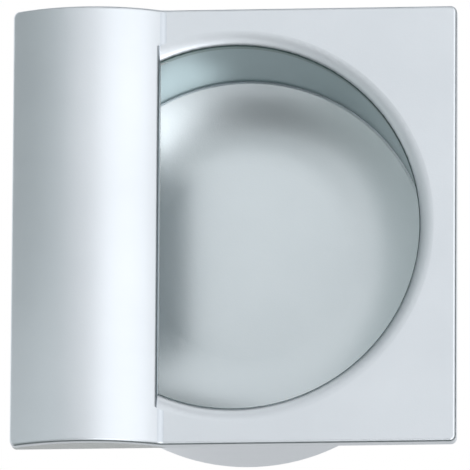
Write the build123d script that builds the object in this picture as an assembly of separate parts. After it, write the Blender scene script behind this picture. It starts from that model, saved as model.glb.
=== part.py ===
"""Square flush pull for a sliding door: a cast face plate with a crowned grip bar, and a turned recess cup.

The pull stands as it does on a door: the front faces -Y, +Z is up, and the collar and cup reach back
along +Y into the door. The origin lies on the axis of the recess, in the plane of the plate's back.
"""

import os
from math import sqrt

from build123d import *

# Face plate
plate_width = 50.0
plate_height = 50.0
plate_thickness = 1.8
corner_radius = 0.7
outline_rounding = 0.35

# Grip bar: a low crown along the left side of the plate
grip_width = 16.9
grip_crown = 2.5
grip_wall = 2.0
grip_foot_radius = 1.2
hook_setback = 0.35
hook_front_rounding = 0.6
hook_back_rounding = 0.35

# Round opening, towards which the plate rolls off softly
opening_radius = 20.8
lip_reach = 1.7
lip_depth = 0.85

# Recess cup, whose bore runs on from the opening and ends in a relief groove round the dished floor
recess_depth = 18.8
floor_flat_radius = 11.5
floor_rim_rise = 1.4
cup_wall = 0.8
cup_floor = 1.4
cup_chamfer = 0.4
cup_clearance = 0.1
groove_width = 0.25
groove_depth = 0.5

# Collar that fits the bore in the door
collar_wall = 1.3
collar_length = 20.8
collar_chamfer = 0.4

# Places that follow from the sizes above
front_y = -plate_thickness
crest_y = front_y - grip_crown
left_x = -plate_width / 2
right_x = plate_width / 2
foot_x = left_x + grip_width
hook_x = foot_x - hook_setback
grip_middle_x = left_x + grip_width / 2
grip_radius = ((grip_width / 2) ** 2 + grip_crown**2) / (2 * grip_crown)
grip_axis_y = crest_y + grip_radius
cup_floor_y = front_y + recess_depth
cup_rim_y = cup_floor_y - floor_rim_rise
cup_back_y = cup_floor_y + cup_floor
cup_outer_radius = opening_radius + cup_wall
collar_bore_radius = cup_outer_radius + cup_clearance
collar_radius = collar_bore_radius + collar_wall
clear_of_front = 2 * (plate_thickness + grip_crown)


def plate_blank():
    """Plate and grip bar in one section, drawn across the bar and extruded up the pull."""
    with BuildPart() as blank:
        with BuildSketch(Plane.XY) as section:
            with BuildLine():
                ThreePointArc((left_x, front_y), (grip_middle_x, crest_y), (foot_x, front_y))
                Polyline((foot_x, front_y), (right_x, front_y), (right_x, 0), (left_x, 0), (left_x, front_y))
            make_face()
            foot = section.vertices().sort_by_distance((foot_x, front_y))[0]
            fillet(foot, grip_foot_radius)
        extrude(amount=plate_height / 2, both=True)
        fillet(blank.edges().filter_by(Axis.Y), corner_radius)
        fillet(front_outline(blank), outline_rounding)
    return blank.part


def front_outline(blank):
    """Edges round the outside of the front, without the lines where the bar runs out into the plate."""
    outside_x = plate_width / 2 - corner_radius
    outside_z = plate_height / 2 - corner_radius
    front = blank.edges().filter_by(lambda edge: edge.bounding_box().max.Y < front_y / 2)
    return front.filter_by(
        lambda edge: abs((edge @ 0.5).X) > outside_x or abs((edge @ 0.5).Z) > outside_z
    )


def finger_opening():
    """Round cut with a flared front edge, stopped at the rounded hooking edge of the grip bar."""
    flare_radius = opening_radius + lip_reach
    flare_end_y = front_y + lip_depth
    with BuildPart() as cut:
        with BuildSketch(Plane.XY):
            with BuildLine():
                Polyline((0, 0), (opening_radius, 0), (opening_radius, flare_end_y))
                EllipticalCenterArc((flare_radius, flare_end_y), lip_reach, lip_depth, 180, arc_size=90)
                Polyline(
                    (flare_radius, front_y),
                    (flare_radius, -clear_of_front),
                    (0, -clear_of_front),
                    (0, 0),
                )
            make_face()
        revolve(axis=Axis.Y)
        add(hook_side(), mode=Mode.INTERSECT)
    return cut.part


def hook_side():
    """Space to the right of the grip bar, whose left wall is the outside of the hooking edge."""
    rounding_x = hook_x - hook_front_rounding
    reach = grip_radius - hook_front_rounding
    rounding_y = grip_axis_y - sqrt(reach**2 - (rounding_x - grip_middle_x) ** 2)
    outward = (Vector(rounding_x, rounding_y) - Vector(grip_middle_x, grip_axis_y)).normalized()
    crown_point = Vector(rounding_x, rounding_y) + outward * hook_front_rounding
    clear_point = crown_point + outward * clear_of_front
    back_point = (hook_x - hook_back_rounding, 0)
    with BuildPart() as space:
        with BuildSketch(Plane.XY):
            with BuildLine():
                RadiusArc(back_point, (hook_x, -hook_back_rounding), hook_back_rounding)
                Line((hook_x, -hook_back_rounding), (hook_x, rounding_y))
                RadiusArc((hook_x, rounding_y), crown_point, hook_front_rounding)
                Polyline(
                    crown_point,
                    clear_point,
                    (right_x, clear_point.Y),
                    (right_x, 0),
                    back_point,
                )
            make_face()
        extrude(amount=plate_height / 2, both=True)
    return space.part


def grip_hollow():
    """Hollow behind the grip bar, which leaves the crown one even wall where it bridges the recess."""
    inner_radius = grip_radius - grip_wall
    with BuildPart() as hollow:
        with Locations((grip_middle_x, grip_axis_y, 0)):
            Cylinder(inner_radius, plate_height)
        with Locations(Location((0, -clear_of_front / 2, 0), (90, 0, 0))):
            Cylinder(opening_radius, clear_of_front, mode=Mode.INTERSECT)
    return hollow.part


def collar():
    """Ring behind the plate, chamfered at its rear end to start into the bore and to take the cup."""
    root_y = front_y / 2
    with BuildPart() as ring:
        with BuildSketch(Plane.XY) as section:
            with BuildLine():
                Polyline(
                    (collar_bore_radius, root_y),
                    (collar_radius, root_y),
                    (collar_radius, collar_length),
                    (collar_bore_radius, collar_length),
                    close=True,
                )
            make_face()
            chamfer(section.vertices().group_by(Axis.Y)[-1], collar_chamfer)
        revolve(axis=Axis.Y)
    return ring.part


def face_plate():
    """Casting: plate, grip bar, flared opening and collar."""
    with BuildPart() as casting:
        add(plate_blank())
        add(finger_opening(), mode=Mode.SUBTRACT)
        add(grip_hollow(), mode=Mode.SUBTRACT)
        add(collar())
    return casting.part


def recess_cup():
    """Turned cup: its mouth seats on the back of the lip, and its floor turns up softly towards the wall."""
    groove_radius = opening_radius - groove_width
    groove_y = cup_rim_y + groove_depth
    with BuildPart() as cup:
        with BuildSketch(Plane.XY) as section:
            with BuildLine():
                TangentArc((floor_flat_radius, cup_floor_y), (groove_radius, cup_rim_y), tangent=(1, 0))
                Polyline(
                    (groove_radius, cup_rim_y),
                    (groove_radius, groove_y),
                    (opening_radius, groove_y),
                    (opening_radius, 0),
                    (cup_outer_radius, 0),
                    (cup_outer_radius, cup_back_y),
                    (0, cup_back_y),
                    (0, cup_floor_y),
                    (floor_flat_radius, cup_floor_y),
                )
            make_face()
            rear_corner = section.vertices().sort_by_distance((cup_outer_radius, cup_back_y))[0]
            chamfer(rear_corner, cup_chamfer)
        revolve(axis=Axis.Y)
    return cup.part


os.makedirs("parts", exist_ok=True)
for name, piece in {"face_plate": face_plate(), "recess_cup": recess_cup()}.items():
    export_step(piece, f"parts/{name}.step")
    print(name, round(piece.volume, 1), piece.is_valid)
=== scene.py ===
from math import cos, radians, sin, sqrt

import bpy
from mathutils import Matrix, Vector


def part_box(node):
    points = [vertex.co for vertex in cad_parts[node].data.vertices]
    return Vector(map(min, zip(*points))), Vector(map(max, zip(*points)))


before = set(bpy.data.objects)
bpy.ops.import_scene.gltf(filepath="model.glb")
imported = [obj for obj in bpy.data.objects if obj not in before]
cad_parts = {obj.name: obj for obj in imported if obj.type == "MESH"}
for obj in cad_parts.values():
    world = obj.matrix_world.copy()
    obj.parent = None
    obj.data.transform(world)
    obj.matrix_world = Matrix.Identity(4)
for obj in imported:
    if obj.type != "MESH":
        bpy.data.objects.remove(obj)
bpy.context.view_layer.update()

# Sizes of the pull, in metres: the boxes of its pieces, and the sizes that a box doesn't give
plate_low, plate_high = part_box("face_plate")
_, cup_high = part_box("recess_cup")
plate_width = plate_high.x - plate_low.x
plate_thickness = 0.0018
bar_width = 0.0169
bar_crown = 0.0025
bar_middle_radius = 0.0145
foot_radius = 0.0012
bore_edge_radius = 0.02093
bore_edge_y = -0.00125
cup_rim_thickness = 0.0028

# Places that follow from those sizes
pull_centre = Vector((0, 0, 0))
plate_front_y = -plate_thickness
bar_radius = ((bar_width / 2) ** 2 + bar_crown**2) / (2 * bar_crown)
bar_axis_x = plate_low.x + bar_width / 2
bar_axis_y = plate_front_y - bar_crown + bar_radius
foot_axis_y = plate_front_y - foot_radius
foot_axis_x = bar_axis_x + sqrt((bar_radius + foot_radius) ** 2 - (bar_axis_y - foot_axis_y) ** 2)
cup_rim_y = cup_high.y - cup_rim_thickness

# Directions across a line along Y, and across a line along Z
across_y = (1, 0, 1)
across_z = (1, 1, 0)

# Margins at the limits of the zones where shade and light are painted into the tint
wall_margin = 0.0001
back_margin = 0.00005
foot_margin = 0.000001

# Grain of the satin metal: faint clouds of tint, and a fine blasted grain in gloss and height
cloud_scale = 90.0
cloud_detail = 3.0
cloud_range = (0.35, 0.65)
grain_scale = 5200.0
grain_detail = 2.0
grain_strength = 0.25
grain_height = 0.00002

# Finishes of the casting: satin chrome; the bore painted dark as shade; the bar's hollow painted pale, matt
# and non-metallic as painted light that the floor reflects; and the bar's foot, rougher and painted a little
# darker to dim its highlight
chrome_tints = ((0.74, 0.785, 0.835), (0.77, 0.815, 0.865))
chrome_roughness = (0.34, 0.42)
chrome_metallic = 1.0
bore_painted_shade = (0.20, 0.26, 0.25)
bore_roughness = 0.35
hollow_painted_light = (0.90, 0.92, 0.93)
hollow_roughness = 0.7
hollow_metallic = 0.0
foot_painted_shade = (0.71, 0.76, 0.82)
foot_roughness = 0.5

# Finishes of the cup: pale satin floor, and the turned wall painted dark as the recess's shade
floor_tints = ((0.72, 0.79, 0.83), (0.75, 0.82, 0.86))
floor_roughness = (0.19, 0.25)
floor_metallic = 0.65
wall_painted_shade = (0.31, 0.39, 0.40)
wall_roughness = 0.30
wall_metallic = 1.0

# View from below and to the right, far off with a long lens: degrees, metres, and millimetres for the sensor
view_azimuth = 5.1
view_elevation = -13.0
view_roll = 0.35
view_distance = 1.4
view_margin = 1.054
view_target = Vector((0.0, 0.0, -0.0007))
view_nearest = 0.01
view_farthest = 30.0
sensor_width = 36.0

# Studio: a floor well below the pull, matt cards, and a white surround that is softer as light
studio_floor_height = -1.45
studio_floor_size = 20.3
studio_floor_colour = (0.85, 0.85, 0.85)
card_side = 1.0
matt_roughness = 0.9
surround_shown = 1.0
surround_light = 0.8


def add_node(tree, kind, values=None, wires=None):
    """Adds a node, sets values on its inputs and wires other nodes' outputs to them."""
    node = tree.nodes.new(kind)
    for entry, value in (values or {}).items():
        node.inputs[entry].default_value = value
    for entry, source in (wires or {}).items():
        tree.links.new(source, node.inputs[entry])
    return node


def add_math(tree, operation, first, second):
    """Works out one number from a wire and either a fixed value or a second wire."""
    if isinstance(second, float):
        node = add_node(tree, "ShaderNodeMath", {1: second}, {0: first})
    else:
        node = add_node(tree, "ShaderNodeMath", wires={0: first, 1: second})
    node.operation = operation
    return node.outputs["Value"]


def new_material(name):
    """Empty node material with a Principled shader wired to its output."""
    material = bpy.data.materials.new(name)
    material.use_nodes = True
    tree = material.node_tree
    tree.nodes.clear()
    shader = add_node(tree, "ShaderNodeBsdfPrincipled")
    add_node(tree, "ShaderNodeOutputMaterial", wires={"Surface": shader.outputs["BSDF"]})
    return material, shader


def satin_metal(name, tints, roughness, metallic):
    """Satin metal: a fine blasted grain in gloss and height, under faint clouds of tint."""
    material, shader = new_material(name)
    tree = material.node_tree
    shader.inputs["Metallic"].default_value = metallic
    place = add_node(tree, "ShaderNodeTexCoord").outputs["Object"]

    clouds = add_node(
        tree, "ShaderNodeTexNoise", {"Scale": cloud_scale, "Detail": cloud_detail}, {"Vector": place}
    )
    tint = add_node(tree, "ShaderNodeValToRGB", wires={"Fac": clouds.outputs["Fac"]})
    for element, position, colour in zip(tint.color_ramp.elements, cloud_range, tints):
        element.position = position
        element.color = (*colour, 1)
    tree.links.new(tint.outputs["Color"], shader.inputs["Base Color"])

    grain = add_node(
        tree, "ShaderNodeTexNoise", {"Scale": grain_scale, "Detail": grain_detail}, {"Vector": place}
    )
    gloss = add_node(
        tree,
        "ShaderNodeMapRange",
        {"To Min": roughness[0], "To Max": roughness[1]},
        {"Value": grain.outputs["Fac"]},
    )
    tree.links.new(gloss.outputs["Result"], shader.inputs["Roughness"])
    bump = add_node(
        tree,
        "ShaderNodeBump",
        {"Strength": grain_strength, "Distance": grain_height},
        {"Height": grain.outputs["Fac"]},
    )
    tree.links.new(bump.outputs["Normal"], shader.inputs["Normal"])
    return material, shader, place


def blend_socket(tree, socket, data_type, share, zone_value):
    """Mixes a zone's value into what a shader's socket holds, be it a fixed value or a wire."""
    mix = tree.nodes.new("ShaderNodeMix")
    mix.data_type = data_type
    factor, before, zone = [entry for entry in mix.inputs if entry.enabled]
    result = next(entry for entry in mix.outputs if entry.enabled)
    tree.links.new(share, factor)
    if socket.links:
        tree.links.new(socket.links[0].from_socket, before)
    else:
        before.default_value = socket.default_value
    zone.default_value = zone_value
    tree.links.new(result, socket)


def blend_zone(tree, shader, share, tint, roughness, metallic=None):
    """Gives the zone where the share is one its own tint and gloss, and a metallic value if it has one."""
    blend_socket(tree, shader.inputs["Base Color"], "RGBA", share, (*tint, 1))
    blend_socket(tree, shader.inputs["Roughness"], "FLOAT", share, roughness)
    if metallic is not None:
        blend_socket(tree, shader.inputs["Metallic"], "FLOAT", share, metallic)


def depth_along_y(tree, place):
    """How far back along Y a point lies."""
    return add_node(tree, "ShaderNodeSeparateXYZ", wires={"Vector": place}).outputs["Y"]


def distance_from_line(tree, place, point, across):
    """Distance from a line through a point, measured in the directions across it."""
    flat = add_node(tree, "ShaderNodeVectorMath", {1: across}, {0: place})
    flat.operation = "MULTIPLY"
    reach = add_node(tree, "ShaderNodeVectorMath", {1: point}, {0: flat.outputs["Vector"]})
    reach.operation = "DISTANCE"
    return reach.outputs["Value"]


def casting_metal():
    """Satin chrome of the casting, with painted shade on the bore and the bar's foot, and painted light on
    the bar's hollow.
    """
    material, shader, place = satin_metal("satin_casting", chrome_tints, chrome_roughness, chrome_metallic)
    tree = material.node_tree
    depth = depth_along_y(tree, place)

    # Painted shade: the lip's steep inner edge and the bore behind it are tinted dark, as the shadow in the
    # joint behind the lip
    from_bore_axis = distance_from_line(tree, place, pull_centre, across_y)
    at_bore = add_math(tree, "LESS_THAN", from_bore_axis, bore_edge_radius)
    behind_lip = add_math(tree, "GREATER_THAN", depth, bore_edge_y)
    bore_shade_share = add_math(tree, "MULTIPLY", at_bore, behind_lip)
    blend_zone(tree, shader, bore_shade_share, bore_painted_shade, bore_roughness)

    # Painted light: the hollow under the bar is pale, matt and non-metallic, lighter than bare cast metal,
    # so that its reflection in the floor is lighter
    from_bar_axis = distance_from_line(tree, place, (bar_axis_x, bar_axis_y, 0), across_z)
    under_bar = add_math(tree, "LESS_THAN", from_bar_axis, bar_middle_radius)
    before_back = add_math(tree, "LESS_THAN", depth, -back_margin)
    hollow_light_share = add_math(tree, "MULTIPLY", under_bar, before_back)
    blend_zone(tree, shader, hollow_light_share, hollow_painted_light, hollow_roughness, hollow_metallic)

    # Painted shade: the bar's foot fillet is rougher, and is also tinted a little darker to dim its
    # highlight
    from_foot_axis = distance_from_line(tree, place, (foot_axis_x, foot_axis_y, 0), across_z)
    foot_shade_share = add_math(tree, "LESS_THAN", from_foot_axis, foot_radius + foot_margin)
    blend_zone(tree, shader, foot_shade_share, foot_painted_shade, foot_roughness)
    return material


def cup_metal():
    """Turned steel of the cup: pale satin floor, and the wall in front of the floor's rim painted dark as
    shade.
    """
    material, shader, place = satin_metal("satin_sheet", floor_tints, floor_roughness, floor_metallic)
    tree = material.node_tree
    # Painted shade: the cup's wall in front of the floor's rim is tinted dark, as the shade inside the
    # recess
    wall_shade_share = add_math(tree, "LESS_THAN", depth_along_y(tree, place), cup_rim_y - wall_margin)
    blend_zone(tree, shader, wall_shade_share, wall_painted_shade, wall_roughness, wall_metallic)
    return material


def finish_node(name, material):
    """Gives a piece of the pull its finish."""
    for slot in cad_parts[name].material_slots:
        slot.material = material


def plain_matt(name, colour):
    """Matt surface of one colour for the studio."""
    material, shader = new_material(name)
    shader.inputs["Base Color"].default_value = (*colour, 1)
    shader.inputs["Roughness"].default_value = matt_roughness
    return material


def graded_matt(name, left_colour, right_colour):
    """Matt surface that runs from one colour to another across a card."""
    material, shader = new_material(name)
    tree = material.node_tree
    shader.inputs["Roughness"].default_value = matt_roughness
    place = add_node(tree, "ShaderNodeTexCoord").outputs["Object"]
    across = add_node(tree, "ShaderNodeSeparateXYZ", wires={"Vector": place}).outputs["X"]
    share = add_node(
        tree,
        "ShaderNodeMapRange",
        {"From Min": -card_side / 2, "From Max": card_side / 2},
        {"Value": across},
    )
    run = add_node(tree, "ShaderNodeValToRGB", wires={"Fac": share.outputs["Result"]})
    for element, colour in zip(run.color_ramp.elements, (left_colour, right_colour)):
        element.color = (*colour, 1)
    tree.links.new(run.outputs["Color"], shader.inputs["Base Color"])
    return material


def facing(azimuth, elevation, distance, roll=0.0, target=pull_centre):
    """Place on a sphere round the target, turned so that -Z looks at it."""
    turn_angle = radians(azimuth)
    rise_angle = radians(elevation)
    flat_back = Vector((sin(turn_angle), -cos(turn_angle), 0))
    straight_up = Vector((0, 0, 1))
    back = flat_back * cos(rise_angle) + straight_up * sin(rise_angle)
    up = straight_up * cos(rise_angle) - flat_back * sin(rise_angle)
    right = up.cross(back)
    turn = Matrix((right, up, back)).transposed().to_4x4()
    return Matrix.Translation(target + back * distance) @ turn @ Matrix.Rotation(radians(roll), 4, "Z")


def new_plane(name, material, size, height=0.0):
    """Level square for the studio, at a height above or below the pull's centre."""
    bpy.ops.object.select_all(action="DESELECT")
    bpy.ops.mesh.primitive_plane_add(size=size, location=(0, 0, height))
    plane = bpy.context.object
    plane.name = name
    plane.data.materials.append(material)
    return plane


def studio_floor():
    """Plain pale floor below the pull."""
    pale_floor = plain_matt("pale_floor", studio_floor_colour)
    floor = new_plane("studio_floor", pale_floor, studio_floor_size, studio_floor_height)


def studio_card(name, material, azimuth, elevation, distance, width, height):
    """Card out of the picture, facing the pull, for the metal to reflect."""
    card = new_plane(name, material, card_side)
    card.matrix_world = facing(azimuth, elevation, distance) @ Matrix.Diagonal((width, height, 1, 1))
    card.visible_camera = False


def soft_lamp(name, watts, azimuth, elevation, distance, width, height):
    """Rectangular soft lamp that faces the pull."""
    data = bpy.data.lights.new(name, "AREA")
    data.shape = "RECTANGLE"
    data.size = width
    data.size_y = height
    data.energy = watts
    lamp = bpy.data.objects.new(name, data)
    lamp.matrix_world = facing(azimuth, elevation, distance)
    lamp.visible_camera = False
    bpy.context.scene.collection.objects.link(lamp)


def studio_cards():
    """Cards round the pull: pale and dark ones that give the satin metal its light and shade."""
    grey_run = graded_matt("grey_run", (0.34, 0.385, 0.38), (0.90, 0.95, 0.95))
    dark_cloth = plain_matt("dark_cloth", (0.08, 0.11, 0.10))
    front_run = graded_matt("front_run", (0.75, 0.80, 0.78), (0.0, 0.0, 0.0))
    black_cloth = plain_matt("black_cloth", (0.01, 0.01, 0.01))
    veil_cloth = plain_matt("veil_cloth", (0.75, 0.77, 0.77))
    grey_cloth = plain_matt("grey_cloth", (0.25, 0.27, 0.27))
    studio_card("left_card", grey_run, azimuth=-51, elevation=5, distance=1.0, width=1.25, height=2.2)
    studio_card("right_card", dark_cloth, azimuth=98, elevation=0, distance=0.8, width=0.9, height=1.6)
    studio_card("low_card", dark_cloth, azimuth=0, elevation=-95, distance=0.5, width=1.2, height=0.60)
    studio_card("high_card", grey_cloth, azimuth=0, elevation=90, distance=0.6, width=1.2, height=0.36)
    studio_card("front_card", front_run, azimuth=-13.5, elevation=-8, distance=1.0, width=0.58, height=0.28)
    studio_card("black_card", black_cloth, azimuth=-6, elevation=-8, distance=0.95, width=0.22, height=0.23)
    studio_card("veil_card", veil_cloth, azimuth=-5, elevation=4.5, distance=1.0, width=0.22, height=0.12)
    studio_card("upper_card", grey_cloth, azimuth=9, elevation=38, distance=1.0, width=0.44, height=0.24)


def studio_lamps():
    """Soft lamps, on top of the light from the white surround."""
    soft_lamp("right_lamp", watts=1.5, azimuth=31, elevation=-2, distance=1.0, width=0.85, height=1.5)
    soft_lamp("near_lamp", watts=0.8, azimuth=10.5, elevation=-8, distance=1.6, width=0.50, height=0.45)
    soft_lamp("left_lamp", watts=0.0028, azimuth=-58, elevation=-8, distance=0.10, width=0.085, height=0.034)
    soft_lamp("low_lamp", watts=1.2, azimuth=24, elevation=-42, distance=1.0, width=0.45, height=0.40)


def white_world():
    """White surround for the camera and for reflections, with a softer level as light."""
    world = bpy.data.worlds.new("white_surround")
    bpy.context.scene.world = world
    world.use_nodes = True
    tree = world.node_tree
    tree.nodes.clear()
    white = (1, 1, 1, 1)
    shown = add_node(tree, "ShaderNodeBackground", {"Color": white, "Strength": surround_shown})
    light = add_node(tree, "ShaderNodeBackground", {"Color": white, "Strength": surround_light})
    path = add_node(tree, "ShaderNodeLightPath").outputs
    seen = add_math(tree, "MAXIMUM", path["Is Camera Ray"], path["Is Glossy Ray"])
    seen = add_math(tree, "MAXIMUM", seen, path["Is Transmission Ray"])
    mix = add_node(
        tree,
        "ShaderNodeMixShader",
        wires={"Fac": seen, 1: light.outputs["Background"], 2: shown.outputs["Background"]},
    )
    add_node(tree, "ShaderNodeOutputWorld", wires={"Surface": mix.outputs["Shader"]})


def long_lens_camera():
    """Camera at the picture's viewing angle, framed on the plate with a small margin."""
    data = bpy.data.cameras.new("view_camera")
    data.sensor_width = sensor_width
    data.lens = sensor_width * view_distance / (plate_width * view_margin)
    data.clip_start = view_nearest
    data.clip_end = view_farthest
    camera = bpy.data.objects.new("view_camera", data)
    camera.matrix_world = facing(view_azimuth, view_elevation, view_distance, view_roll, view_target)
    bpy.context.scene.collection.objects.link(camera)
    bpy.context.scene.camera = camera


finish_node("face_plate", casting_metal())
finish_node("recess_cup", cup_metal())
studio_floor()
studio_cards()
studio_lamps()
white_world()
long_lens_camera()
bpy.context.scene.view_settings.view_transform = "Standard"
